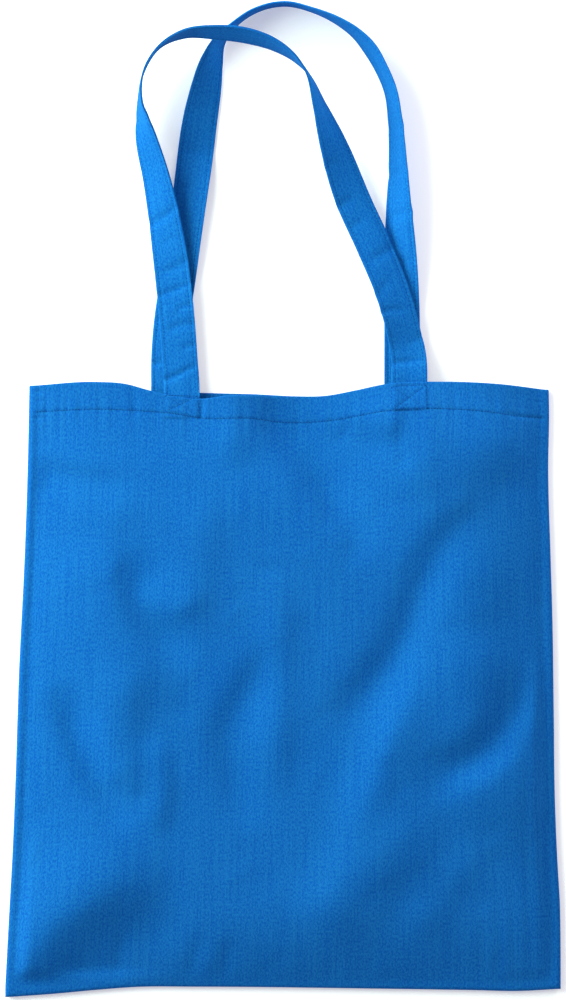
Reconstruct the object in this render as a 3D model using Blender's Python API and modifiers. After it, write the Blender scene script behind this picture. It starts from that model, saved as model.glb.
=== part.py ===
"""A cotton shopping bag that lies on its back, with its two long handles spread above the mouth.

X runs across the bag, Y from the bottom fold to the handles, Z up out of the front panel.
Lengths are in metres. The origin is below the middle of the whole bag, on what it lies on.
"""

import math

import bmesh
import bpy
import numpy as np

# Body
MOUTH_WIDTH = 0.3632
BOTTOM_WIDTH = 0.3886
LEAN_LEFT = 0.0042
BODY_HEIGHT = 0.4232
CLOTH = 0.0006
HEM_DEPTH = 0.0195
HEM_GAP = 0.0003
SIDE_THICKNESS = 0.0054
PUFF = 0.0060
MOUTH_PUFF = 0.0058
SHOULDER_WIDTH = 0.034
BOTTOM_SHOULDER = 0.040

# Handles
HANDLE_WIDTH = 0.025
HANDLE_THICKNESS = 0.0015
TUCKED_LENGTH = 0.0180
TUCK_CLEARANCE = 0.0005
REST_CLEARANCE = 0.0001
LANDING_LENGTH = 0.035
FRONT_SPACING = 0.1589
FRONT_OFFSET = 0.0046
FRONT_RISE = 0.2426
BACK_SPACING = 0.1631
BACK_OFFSET = -0.0024
BACK_RISE = 0.2639

# Outline of the cloth: each side bows in and out a little between the mouth and the bottom.
# Share of the height, then how far out the edge lies of the straight line between its corners.
LEFT_BOW = (
    (0.0, 0.0), (0.11, -0.0006), (0.22, -0.0013), (0.32, -0.0014), (0.53, -0.0008),
    (0.71, -0.0015), (0.88, -0.0010), (1.0, 0.0),
)
RIGHT_BOW = (
    (0.0, 0.0), (0.08, 0.0006), (0.14, 0.0006), (0.20, -0.0004), (0.31, -0.0014), (0.45, -0.0010),
    (0.61, -0.0006), (0.71, -0.0010), (0.86, -0.0014), (0.95, 0.0), (1.0, 0.0),
)

# Share of the width, then how far the edge lies below its highest place.
FRONT_EDGE = (
    (0.0, 0.0026), (0.12, 0.0), (0.18, 0.0014), (0.23, 0.0062), (0.33, 0.0118), (0.38, 0.0096),
    (0.50, 0.0100), (0.57, 0.0098), (0.63, 0.0060), (0.69, 0.0016), (0.80, 0.0), (0.91, 0.0016), (1.0, 0.0054),
)
BACK_EDGE = (
    (0.0, 0.0026), (0.12, 0.0010), (0.23, 0.0062), (0.33, 0.0076), (0.42, 0.0084),
    (0.57, 0.0098), (0.69, 0.0030), (0.80, 0.0014), (0.91, 0.0026), (1.0, 0.0054),
)
BOTTOM_EDGE = (
    (0.0, 0.0072), (0.08, 0.0050), (0.16, 0.0022), (0.23, 0.0002), (0.35, 0.0),
    (0.68, 0.0014), (0.85, 0.0024), (0.93, 0.0030), (1.0, 0.0016),
)

# Soft folds of the front panel: the two ends as shares of width and height, the half width
# and the height of the ridge, which is negative for a furrow.
FOLDS = (
    (0.74, 0.74, 0.61, 0.50, 0.012, -0.0038),
    (0.80, 0.66, 0.68, 0.46, 0.017, 0.0036),
    (0.52, 0.84, 0.60, 0.76, 0.012, -0.0026),
    (0.62, 0.98, 0.60, 0.86, 0.026, 0.0028),
    (0.44, 0.94, 0.46, 0.86, 0.020, -0.0018),
    (0.47, 0.64, 0.47, 0.46, 0.009, 0.0026),
    (0.51, 0.56, 0.50, 0.42, 0.011, -0.0024),
    (0.38, 0.50, 0.41, 0.30, 0.010, -0.0026),
    (0.35, 0.72, 0.36, 0.64, 0.014, -0.0018),
    (0.19, 0.66, 0.26, 0.52, 0.013, -0.0020),
    (0.11, 0.80, 0.14, 0.44, 0.024, 0.0030),
    (0.08, 0.48, 0.14, 0.34, 0.011, -0.0026),
    (0.28, 0.36, 0.24, 0.30, 0.009, 0.0022),
    (0.30, 0.38, 0.33, 0.28, 0.009, -0.0024),
    (0.08, 0.04, 0.24, 0.13, 0.015, -0.0034),
    (0.05, 0.12, 0.20, 0.22, 0.018, 0.0030),
    (0.66, 0.45, 0.57, 0.28, 0.016, 0.0030),
    (0.62, 0.10, 0.76, 0.24, 0.014, -0.0036),
    (0.70, 0.08, 0.84, 0.20, 0.012, -0.0030),
    (0.66, 0.12, 0.82, 0.23, 0.010, 0.0016),
    (0.80, 0.36, 0.90, 0.42, 0.014, -0.0022),
    (0.93, 0.52, 0.95, 0.34, 0.014, 0.0020),
)

# Route of a handle from its left end to its right one. Sideways in half spacings from the middle
# of the handle, upwards in rises above the mouth, the roll in degrees from flat, positive with
# the outer edge raised, and the gap in metres below the lower edge.
FRONT_ROUTE = (
    (-1.02, 0.07, -6, 0.0062),
    (-1.05, 0.20, -12, 0.0052),
    (-1.10, 0.35, -22, 0.0030),
    (-1.15, 0.46, -33, 0.0012),
    (-1.22, 0.58, -41, 0.0030),
    (-1.32, 0.71, -57, 0.0090),
    (-1.365, 0.80, -82, 0.0140),
    (-1.33, 0.89, -89, 0.0190),
    (-1.19, 0.96, -91, 0.0228),
    (-0.98, 0.995, -100, 0.0250),
    (-0.70, 1.0, -109, 0.0258),
    (-0.42, 0.99, -111, 0.0252),
    (-0.20, 0.967, -106, 0.0236),
    (-0.02, 0.93, -97, 0.0215),
    (0.09, 0.89, -88, 0.0195),
    (0.215, 0.79, -70, 0.0150),
    (0.347, 0.669, -46, 0.0100),
    (0.504, 0.525, -27, 0.0070),
    (0.680, 0.398, -25, 0.0076),
    (0.850, 0.260, -22, 0.0086),
    (0.942, 0.155, -17, 0.0070),
    (0.995, 0.07, -12, 0.0058),
)
BACK_ROUTE = (
    (-1.0, 0.06, 1, 0.0006),
    (-0.98, 0.15, 3, 0.0),
    (-0.92, 0.28, 5, 0.0),
    (-0.87, 0.39, 8, 0.0),
    (-0.80, 0.54, 13, 0.0),
    (-0.73, 0.70, 25, 0.0),
    (-0.68, 0.78, 34, 0.0),
    (-0.635, 0.845, 52, 0.0),
    (-0.57, 0.90, 72, 0.0),
    (-0.46, 0.94, 83, 0.0),
    (-0.28, 0.98, 86, 0.0),
    (0.0, 1.0, 87, 0.0),
    (0.24, 0.983, 87, 0.0),
    (0.42, 0.960, 83, 0.0),
    (0.62, 0.918, 76, 0.0),
    (0.72, 0.883, 71, 0.0),
    (0.82, 0.830, 72, 0.0),
    (0.89, 0.780, 72, 0.0),
    (0.945, 0.67, 68, 0.0),
    (0.965, 0.56, 60, 0.0),
    (0.972, 0.46, 47, 0.0),
    (0.985, 0.34, 28, 0.0),
    (0.995, 0.23, 12, 0.0),
    (1.0, 0.15, 4, 0.0),
    (1.0, 0.06, 1, 0.0006),
)

# Mesh steps
PANEL_COLUMNS = 28
SIDE_COLUMNS = 2
FOLD_ROWS = 2
PANEL_ROWS = 24
TURN_ROWS = 4
HEM_ROWS = 2
HANDLE_ROWS = 84
HANDLE_COLUMNS = 3

SIDE_RADIUS = SIDE_THICKNESS / 2
HEM_RADIUS = CLOTH + HEM_GAP / 2
HEM_STACK = 2 * HEM_RADIUS
HALF_WIDTH = HANDLE_WIDTH / 2


def clear_scene():
    for old in list(bpy.data.objects):
        bpy.data.objects.remove(old, do_unlink=True)


def new_collection(name):
    collection = bpy.data.collections.new(name)
    bpy.context.scene.collection.children.link(collection)
    return collection


def cotton(name, colour):
    """A matt dyed cotton."""
    material = bpy.data.materials.new(name)
    material.use_nodes = True
    shader = material.node_tree.nodes["Principled BSDF"]
    shader.inputs["Base Color"].default_value = (*colour, 1.0)
    shader.inputs["Roughness"].default_value = 0.9
    shader.inputs["Metallic"].default_value = 0.0
    return material


def smooth_step(value):
    """Rises softly from 0 to 1 as the value does."""
    value = np.clip(value, 0.0, 1.0)
    return value * value * (3 - 2 * value)


def curve_through(stations, at):
    """The smooth curve through the stations, whose first number is the parameter."""
    table = np.array(stations, float)
    keys = table[:, 0]
    values = table[:, 1:]
    slopes = np.gradient(values, keys, axis=0)
    here = int(np.clip(np.searchsorted(keys, at) - 1, 0, len(keys) - 2))
    span = keys[here + 1] - keys[here]
    t = np.clip((at - keys[here]) / span, 0.0, 1.0)
    start = values[here] * (1 + 2 * t) * (1 - t) ** 2 + slopes[here] * span * t * (1 - t) ** 2
    end = values[here + 1] * t * t * (3 - 2 * t) - slopes[here + 1] * span * t * t * (1 - t)
    return start + end


def side_edges(height_share):
    """Where the left and the right edge of the body lie at a share of its height."""
    half = (BOTTOM_WIDTH + (MOUTH_WIDTH - BOTTOM_WIDTH) * height_share) / 2
    middle = LEAN_LEFT * height_share
    left = middle - half - curve_through(LEFT_BOW, height_share)[0]
    right = middle + half + curve_through(RIGHT_BOW, height_share)[0]
    return left, right


def fold_height(across, up):
    """What the soft folds add to the front panel at a place given as shares of width and height."""
    total = 0.0
    for x0, y0, x1, y1, half_width, height in FOLDS:
        run = np.array([(x1 - x0) * BOTTOM_WIDTH, (y1 - y0) * BODY_HEIGHT])
        reach = np.array([(across - x0) * BOTTOM_WIDTH, (up - y0) * BODY_HEIGHT])
        along = np.clip(reach @ run / (run @ run), 0.0, 1.0)
        away = np.linalg.norm(reach - along * run)
        total += height * math.exp(-((away / half_width) ** 2))
    return total


def front_height(x, y):
    """Height of the front panel's outer face above what the bag lies on."""
    up = np.clip(y / BODY_HEIGHT, 0.0, 1.0)
    left, right = side_edges(up)
    clear_width = right - left - SIDE_THICKNESS
    across = np.clip((x - left - SIDE_RADIUS) / clear_width, 0.0, 1.0)
    from_side = min(across, 1 - across) * clear_width
    from_bottom = np.clip(y - SIDE_RADIUS, 0.0, None)
    window = smooth_step(from_side / SHOULDER_WIDTH) * smooth_step(from_bottom / BOTTOM_SHOULDER)
    puff = PUFF + (MOUTH_PUFF - PUFF) * smooth_step((up - 0.8) / 0.2)
    calm_mouth = 1 - 0.7 * smooth_step((up - 0.88) / 0.08)
    return SIDE_THICKNESS + window * (puff + calm_mouth * fold_height(across, up))


def row_place(step):
    """Share of the height, extra height, inset and fullness of a row, counted from the bottom fold."""
    if step <= FOLD_ROWS:
        angle = math.pi / 2 * step / FOLD_ROWS
        return 0.0, -SIDE_RADIUS * math.cos(angle), 0.0, math.sin(angle)
    step -= FOLD_ROWS
    if step <= PANEL_ROWS:
        return step / PANEL_ROWS, 0.0, 0.0, 1.0
    step -= PANEL_ROWS
    if step <= TURN_ROWS:
        angle = math.pi * step / TURN_ROWS
        return 1.0, HEM_RADIUS * math.sin(angle), HEM_RADIUS * (1 - math.cos(angle)), 1.0
    step -= TURN_ROWS
    return 1.0, -(HEM_DEPTH - HEM_RADIUS) * step / HEM_ROWS, HEM_STACK, 1.0


def mouth_height(front, across):
    """Where the top of the mouth lies, on the front or the back panel."""
    edge = FRONT_EDGE if front else BACK_EDGE
    return BODY_HEIGHT - curve_through(edge, across)[0]


def sewn_place(column, row):
    """Where a point of the flat cloth lies once it is folded, sewn up its sides and hemmed."""
    half_rows = FOLD_ROWS + PANEL_ROWS + TURN_ROWS + HEM_ROWS
    front = row >= half_rows
    share, extra, inset, fullness = row_place(abs(row - half_rows))
    last = PANEL_COLUMNS + 2 * SIDE_COLUMNS
    from_edge = min(column, last - column)
    across = np.clip((column - SIDE_COLUMNS) / PANEL_COLUMNS, 0.0, 1.0)
    low = curve_through(BOTTOM_EDGE, across)[0]
    low = SIDE_RADIUS - low
    high = mouth_height(front, across) - HEM_RADIUS
    y = low + share * (high - low) + extra
    left, right = side_edges(np.clip(y / BODY_HEIGHT, 0.0, 1.0))
    radius = SIDE_RADIUS - inset
    if from_edge < SIDE_COLUMNS:
        angle = math.pi / 2 * from_edge / SIDE_COLUMNS
        inwards = inset + radius * (1 - math.cos(angle))
        x = left + inwards if column < SIDE_COLUMNS else right - inwards
        lift = radius * math.sin(angle)
    else:
        x = left + SIDE_RADIUS + across * (right - left - SIDE_THICKNESS)
        lift = front_height(x, y) - SIDE_RADIUS - inset if front else radius
    return x, y, SIDE_RADIUS + fullness * (lift if front else -lift)


def cloth_object(name, collection, material, columns, rows, place, thickness, offset):
    """A flat grid of cloth, each point moved to its place, then given its thickness."""
    mesh = bpy.data.meshes.new(name)
    grid = bmesh.new()
    bmesh.ops.create_grid(grid, x_segments=columns, y_segments=rows, size=0.5)
    for point in grid.verts:
        column = round((point.co.x + 0.5) * columns)
        row = round((point.co.y + 0.5) * rows)
        point.co = place(column, row)
    bmesh.ops.remove_doubles(grid, verts=grid.verts, dist=1e-6)
    grid.to_mesh(mesh)
    grid.free()
    mesh.materials.append(material)
    mesh.shade_smooth()
    cloth = bpy.data.objects.new(name, mesh)
    collection.objects.link(cloth)
    solid = cloth.modifiers.new("thickness", "SOLIDIFY")
    solid.thickness = thickness
    solid.offset = offset
    return cloth


def bag_body(collection):
    """One cloth, folded at the bottom and sewn up both sides, with its mouth hemmed inwards."""
    columns = PANEL_COLUMNS + 2 * SIDE_COLUMNS
    rows = 2 * (FOLD_ROWS + PANEL_ROWS + TURN_ROWS + HEM_ROWS)
    colour = cotton("body_cotton", (0.008, 0.180, 0.560))
    return cloth_object("bag_body", collection, colour, columns, rows, sewn_place, CLOTH, -1.0)


def route_points(front, route, spacing, offset, rise):
    """The handle's stations with the distance run so far, x, y, roll and gap below."""
    middle = LEAN_LEFT + offset
    points = []
    for sideways, upwards, roll, gap in route:
        points.append([middle + sideways * spacing / 2, BODY_HEIGHT + upwards * rise, roll, gap])
    for end in (0, -1):
        x = middle + math.copysign(spacing / 2, points[end][0] - middle)
        left, right = side_edges(1.0)
        edge = mouth_height(front, (x - left) / (right - left))
        tucked = [[x, edge, 0.0, points[end][3]], [x, edge - TUCKED_LENGTH, 0.0, points[end][3]]]
        points = tucked[::-1] + points if end == 0 else points + tucked
    distance = 0.0
    stations = [[0.0, *points[0]]]
    for before, after in zip(points, points[1:]):
        distance += math.dist(before[:2], after[:2])
        stations.append([distance, *after])
    return stations


def tucked_height(front, x, y):
    """Height of the middle of a handle's end, seated on the inside of the hem."""
    seat = HEM_STACK + TUCK_CLEARANCE + HANDLE_THICKNESS / 2
    return front_height(x, y) - seat if front else seat


def handle(name, collection, front, route, spacing, offset, rise):
    """A tape that lies flat where it leaves the mouth and stands on its edge round the loop."""
    stations = route_points(front, route, spacing, offset, rise)
    length = stations[-1][0]
    nudge = length / HANDLE_ROWS / 2

    def tape_place(column, row):
        distance = length * row / HANDLE_ROWS
        x, y, roll, gap = curve_through(stations, distance)
        ahead = curve_through(stations, min(distance + nudge, length))
        behind = curve_through(stations, max(distance - nudge, 0.0))
        run = np.array([ahead[0] - behind[0], ahead[1] - behind[1]])
        run /= np.linalg.norm(run)
        roll = math.radians(roll)
        share = column / HANDLE_COLUMNS * 2 - 1
        outwards = share * HALF_WIDTH * math.cos(roll)
        place_x = x - run[1] * outwards
        place_y = y + run[0] * outwards
        lowest = HALF_WIDTH * abs(math.sin(roll)) + HANDLE_THICKNESS / 2 * abs(math.cos(roll))
        free = REST_CLEARANCE + gap + lowest + share * HALF_WIDTH * math.sin(roll)
        left, right = side_edges(1.0)
        edge = mouth_height(front, (place_x - left) / (right - left))
        loose = smooth_step((place_y - edge - HEM_RADIUS) / LANDING_LENGTH)
        z = free * loose + tucked_height(front, place_x, min(place_y, edge)) * (1 - loose)
        return place_x, place_y, z

    colour = cotton(name + "_cotton", (0.009, 0.200, 0.600))
    return cloth_object(
        name, collection, colour, HANDLE_COLUMNS, HANDLE_ROWS, tape_place, HANDLE_THICKNESS, 0.0
    )


def stand_on_origin(objects):
    """Moves the pieces together, so that the origin is below the middle of them all."""
    bpy.context.view_layer.update()
    graph = bpy.context.evaluated_depsgraph_get()
    corners = []
    for piece in objects:
        evaluated = piece.evaluated_get(graph)
        corners += [evaluated.matrix_world @ point.co for point in evaluated.to_mesh().vertices]
        evaluated.to_mesh_clear()
    corners = np.array(corners)
    low = corners.min(axis=0)
    high = corners.max(axis=0)
    middle = (low + high) / 2
    for piece in objects:
        piece.location = (-middle[0], -middle[1], -low[2])


def main():
    clear_scene()
    bag = new_collection("shopping_bag")
    pieces = [
        bag_body(bag),
        handle("front_handle", bag, True, FRONT_ROUTE, FRONT_SPACING, FRONT_OFFSET, FRONT_RISE),
        handle("back_handle", bag, False, BACK_ROUTE, BACK_SPACING, BACK_OFFSET, BACK_RISE),
    ]
    stand_on_origin(pieces)


main()
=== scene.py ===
"""A blue cotton shopping bag that lies on its back, with real cloth, tapes and stitching."""
import math

import bpy
import numpy as np
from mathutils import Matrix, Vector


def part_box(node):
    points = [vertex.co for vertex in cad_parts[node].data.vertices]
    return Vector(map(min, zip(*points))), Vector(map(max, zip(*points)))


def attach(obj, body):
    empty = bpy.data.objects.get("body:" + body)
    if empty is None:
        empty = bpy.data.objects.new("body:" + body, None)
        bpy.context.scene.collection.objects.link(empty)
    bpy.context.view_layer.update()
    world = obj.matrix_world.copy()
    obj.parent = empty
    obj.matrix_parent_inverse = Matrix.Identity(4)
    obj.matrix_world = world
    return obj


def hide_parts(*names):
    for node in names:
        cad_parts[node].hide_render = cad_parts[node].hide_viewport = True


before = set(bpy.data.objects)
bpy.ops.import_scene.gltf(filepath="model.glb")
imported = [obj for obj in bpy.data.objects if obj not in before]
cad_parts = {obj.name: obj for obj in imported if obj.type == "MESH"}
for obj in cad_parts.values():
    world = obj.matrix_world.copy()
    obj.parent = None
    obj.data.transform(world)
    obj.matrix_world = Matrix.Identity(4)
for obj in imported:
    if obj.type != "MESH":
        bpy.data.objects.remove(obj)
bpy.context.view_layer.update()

# Sizes that the cloth has in the model, in metres
MOUTH_WIDTH = 0.3632
BOTTOM_WIDTH = 0.3886
LEAN_LEFT = 0.0042
BODY_HEIGHT = 0.4232
CLOTH = 0.0006
HEM_DEPTH = 0.0195
HEM_GAP = 0.0003
SIDE_THICKNESS = 0.0054
PUFF = 0.0110
MOUTH_PUFF = 0.0050
SHOULDER_WIDTH = 0.0616
BOTTOM_SHOULDER = 0.055
SEAM_FLAT = 0.0045
FOLDS_FROM_SIDE = 0.014
FOLDS_FROM_BOTTOM = 0.011
DETAIL_FROM_SIDE = 0.0025
SEAMS_FROM_BOTTOM = 0.012
HANDLE_WIDTH = 0.025
HANDLE_THICKNESS = 0.0015
TUCKED_LENGTH = 0.0180
TUCK_CLEARANCE = 0.0005
REST_CLEARANCE = 0.0001
LANDING_LENGTH = 0.035
FRONT_SPACING = 0.1589
FRONT_OFFSET = 0.0046
FRONT_RISE = 0.2426
BACK_SPACING = 0.1631
BACK_OFFSET = -0.0024
BACK_RISE = 0.2639
SIDE_RADIUS = SIDE_THICKNESS / 2
HEM_RADIUS = CLOTH + HEM_GAP / 2
HEM_STACK = 2 * HEM_RADIUS
HALF_WIDTH = HANDLE_WIDTH / 2

# Near the mouth the front gets flatter and its folds calmer.
FLATTER_FROM = 0.78
FLATTER_OVER = 0.2
CALM_FROM = 0.9
CALM_OVER = 0.1
MOUTH_CALM = 0.3

# The folds, seams and creases are placed in picture units of 0.7 mm, X to the right and Y down.
UNIT = 0.0007
UNIT_MIDDLE = (283.2, 499.7)
PICTURE_HEIGHT = 1000
MM = 0.001

# Share of the height, then how far the side bows outwards in metres.
LEFT_BOW = (
    (0.0, 0.0), (0.11, -0.0006), (0.22, -0.0013), (0.32, -0.0014), (0.53, -0.0008),
    (0.71, -0.0015), (0.88, -0.0010), (1.0, 0.0),
)
RIGHT_BOW = (
    (0.0, 0.0), (0.08, 0.0006), (0.14, 0.0006), (0.20, -0.0004), (0.31, -0.0014), (0.45, -0.0010),
    (0.61, -0.0006), (0.71, -0.0010), (0.86, -0.0014), (0.95, 0.0), (1.0, 0.0),
)

# Share of the width, then how far the edge of the mouth lies below its highest place.
FRONT_EDGE = (
    (0.0, 0.0026), (0.12, 0.0), (0.18, 0.0014), (0.23, 0.0062), (0.33, 0.0118), (0.38, 0.0096),
    (0.50, 0.0100), (0.57, 0.0098), (0.63, 0.0060), (0.69, 0.0016), (0.80, 0.0), (0.91, 0.0016),
    (1.0, 0.0054),
)
BACK_EDGE = (
    (0.0, 0.0026), (0.12, 0.0010), (0.23, 0.0062), (0.33, 0.0076), (0.42, 0.0084),
    (0.57, 0.0098), (0.69, 0.0030), (0.80, 0.0014), (0.91, 0.0026), (1.0, 0.0054),
)

# Share of the width, then how far the bottom fold dips.
BOTTOM_EDGE = (
    (0.0, 0.0072), (0.08, 0.0050), (0.16, 0.0022), (0.23, 0.0002), (0.35, 0.0),
    (0.68, 0.0014), (0.85, 0.0024), (0.93, 0.0030), (1.0, 0.0016),
)

# Share of the width, then how far the hem's sewn line lies below the highest place of the mouth.
HEM_LINE = (
    (0.0, 0.0212), (0.12, 0.0191), (0.19, 0.0198), (0.26, 0.0217), (0.33, 0.0254), (0.43, 0.0256),
    (0.48, 0.0280), (0.52, 0.0285), (0.59, 0.0266), (0.69, 0.0203), (0.83, 0.0193), (0.905, 0.0218),
    (0.94, 0.0238), (1.0, 0.0250),
)
HEM_PROUD = 0.00045
HEM_STEP = 0.002
HEM_GROOVE = 0.00022
HEM_GROOVE_WIDTH = 0.0013
HEM_PUCKER = 0.00030
HEM_PUCKER_LENGTH = 0.0125
HEM_PUCKER_REACH = 0.008
BACK_HEM_GROOVE = 0.0005
BACK_HEM_GROOVE_WIDTH = 0.0016
BACK_HEM_HOLES = 0.0004
HEM_RUN = (0.006, 0.994)
HEM_RUN_HEIGHT = 0.95

# Left and right seam: its depth, the depth of its puckers, and where their wave starts.
SIDE_SEAMS = ((0.00018, 0.0006, 0.3), (0.00012, 0.0004, 2.0))
SIDE_SEAM = 0.0036
SIDE_SEAM_WIDTH = 0.0016
SIDE_RIM = 0.0001
SIDE_RIM_WIDTH = 0.002
SIDE_PUCKER_LENGTH = 0.0165
SIDE_PUCKER_REACH = 0.007
SIDE_PUCKER_START = 0.003

# Tapes
EDGE_SEAM = 0.0027
SEAM_GROOVE = 0.00032
SEAM_GROOVE_WIDTH = 0.0006
SEAM_SAMPLE = 0.02
OPEN_EDGE_DEPTH = 0.0005
TAPE_CUP = 0.0006
TAPE_CUP_LENGTH = 0.12
WEAVE_GAP = 0.01

# Sewing thread. A ring of a stitch has a share of its length and a share of its thickness.
STITCH_PITCH = 0.0021
THREAD_WIDTH = 0.00058
THREAD_HEIGHT = 0.00034
THREAD_SIDES = 5
STITCH_RINGS = ((0.22, 0.75), (0.5, 1.0), (0.78, 0.75))
STITCH_TIP = 0.12
STITCH_ARCH = 0.7
STITCH_SINK = 0.55

# Corners of the sewn boxes that hold the ends of the front handle, from the upper left one round.
SEWN_BOXES = (
    ((165.5, 395), (198, 396), (200.5, 417.5), (165.5, 411.5)),
    ((391.5, 386.5), (426, 385), (427, 409.5), (391.5, 410.5)),
)
STRAP_PROUD = 0.0008
STRAP_MARGIN = 1.5
STRAP_SIDE_FADE = 2.5
STRAP_END_FADE = 3.0
BOX_GROOVE = 0.00045
BOX_GROOVE_WIDTH = 1.3

# The back handle's boxes, in metres.
BACK_BOX_TOP = 0.0055
BACK_BOX_INSET = 0.0015
BACK_BOX_DEPTH = 0.0145
BACK_BOX_HOLES = 0.0001

# A fold is its line, its height in mm, negative for a furrow, and its half widths: first on the
# side that lies to the right of a line that runs down, then on the other side.
FOLDS = (
    (((514, 492), (474, 518), (443, 551), (424, 592), (410, 632), (390, 668), (362, 700),
      (328, 740)), -4.8, 42, 21),
    (((482, 528), (464, 566), (433, 640), (404, 720), (380, 785), (358, 838),
      (336, 890)), 4.2, 52, 25),
    (((488, 632), (478, 685), (468, 728), (458, 770)), 2.4, 24, 42),
    (((425, 650), (398, 715), (374, 775), (344, 850)), 1.8, 26, 26),
    (((270, 360), (290, 415), (322, 468), (354, 520)), -3.6, 50, 22),
    (((272, 372), (283, 430), (315, 474), (350, 522), (374, 560)), -4.2, 38, 20),
    (((412, 365), (418, 440), (416, 505)), 3.2, 28, 50),
    (((226, 350), (230, 410), (238, 470)), 2.8, 20, 20),
    (((388, 350), (391, 400), (386, 445)), 4.4, 13, 50),
    (((490, 320), (494, 400), (500, 490)), 5.2, 36, 50),
    (((424, 320), (433, 420), (446, 490), (464, 560), (474, 625)), 5.8, 62, 50),
    (((10, 468), (60, 474), (135, 486)), -2.0, 9, 34),
    (((101, 530), (106, 566), (115, 598), (127, 630), (147, 660), (180, 694)), 2.8, 18, 56),
    (((132, 550), (140, 590), (152, 625), (190, 670)), -1.9, 24, 18),
    (((204, 490), (200, 560), (190, 640)), 1.9, 21, 34),
    (((129, 655), (125, 715), (127, 765), (132, 815)), 2.7, 19, 32),
    (((276, 565), (279, 620), (279, 700), (272, 800)), 2.2, 15, 20),
    (((279, 638), (262, 672), (241, 705), (229, 738), (236, 780), (249, 838)), -2.8, 28, 17),
    (((136, 592), (170, 608), (206, 588)), 1.7, 34, 13),
    (((154, 730), (163, 775), (158, 835)), 2.2, 11, 15),
    (((62, 680), (78, 735), (98, 780), (136, 826)), -4.2, 20, 16),
    (((2, 1004), (28, 955), (55, 919), (99, 889), (176, 878)), 5.2, 50, 34),
    (((50, 1010), (102, 962), (156, 924), (196, 904)), -3.4, 44, 36),
    (((567, 625), (553, 672), (535, 730), (512, 768), (468, 798), (420, 818)), 3.6, 58, 20),
    (((525, 668), (508, 724), (480, 752), (430, 780)), -2.2, 14, 18),
    (((450, 822), (395, 850), (350, 886), (300, 936)), 4.2, 38, 34),
    (((490, 845), (462, 868), (436, 902), (408, 940)), 1.6, 20, 20),
    (((482, 780), (476, 1010)), -1.4, 46, 40),
    (((540, 740), (550, 1010)), 2.4, 14, 60),
)

# Small sharp creases of the front panel, given in the same way.
CREASES = (
    (((118, 1000), (119, 965), (124, 925)), -1.0, 7, 8),
    (((188, 1000), (193, 965), (204, 930)), -0.9, 8, 8),
    (((222, 1000), (225, 970), (232, 935)), -0.9, 7, 8),
    (((262, 1000), (266, 960)), -0.5, 7, 7),
    (((270, 372), (271, 405), (269, 440)), -0.7, 9, 7),
    (((133, 376), (134, 395), (136, 420)), -0.6, 7, 6),
    (((209, 386), (210, 425)), 0.5, 5, 6),
    (((520, 388), (521, 420)), -0.6, 12, 12),
    (((330, 1000), (338, 955)), -0.5, 9, 7),
    (((484, 1000), (482, 890)), -0.25, 5, 5),
    (((500, 1000), (497, 870)), -0.3, 5, 5),
    (((515, 1000), (512, 850)), -0.25, 5, 4),
    (((531, 1000), (528, 900), (527, 780), (524, 680)), -0.4, 5, 6),
    (((452, 378), (455, 415)), -0.3, 3, 3),
    (((468, 378), (469, 412)), -0.3, 3, 3),
    (((492, 380), (494, 414)), -0.4, 3, 4),
    (((398, 425), (404, 470)), -0.4, 4, 4),
    (((418, 425), (424, 480)), -0.3, 4, 4),
    (((204, 394), (202, 408), (201, 421)), -1.2, 2.5, 2),
    (((207, 392), (205, 420)), 0.6, 4, 3),
    (((500, 412), (520, 416), (550, 418)), -0.8, 2, 2),
    (((28, 412), (50, 412)), -0.6, 2, 2),
    (((541, 396), (542, 412)), 0.5, 4, 4),
    (((262, 560), (276, 574)), -0.6, 6, 6),
    (((150, 800), (128, 792), (116, 776)), -0.6, 6, 6),
    (((380, 755), (398, 778), (402, 800)), -0.8, 9, 8),
    (((330, 520), (346, 548)), 0.7, 9, 9),
    (((60, 560), (86, 590)), 0.4, 9, 9),
    (((300, 610), (318, 640), (322, 668)), -0.5, 9, 8),
    (((170, 700), (196, 716)), -0.4, 8, 8),
)

# Many small soft creases, drawn at random, in picture units with the height in mm.
CRUMPLE_SEED = 11
CRUMPLE_COUNT = 230
CRUMPLE_X = (30, 545)
CRUMPLE_Y = (430, 985)
CRUMPLE_LEANS = (-0.55, 0.15, 0.8)
CRUMPLE_LEAN_SPREAD = 0.35
CRUMPLE_HALF_LENGTH = (8, 26)
CRUMPLE_BEND = (-4, 4)
CRUMPLE_HEIGHT = (0.10, 0.34)
CRUMPLE_WIDTH = (4, 9)
CRUMPLE_OTHER_SIDE = (0.7, 1.4)

# How a fold ends: it tapers over a share of its length, and starts a little beyond its end.
FOLD_TAPER = 0.36
TAPER_BEYOND = 0.06
FOLD_REACH = 3
FOLD_GAIN = 1.4

# The waves that make up an uneven one, each with its size, pace and start, and what they reach.
UNEVEN_WAVES = ((1.0, 1.0, 0.0), (0.7, 1.63, 2.1), (0.5, 2.71, 4.0))
UNEVEN_REACH = 1.6

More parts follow.
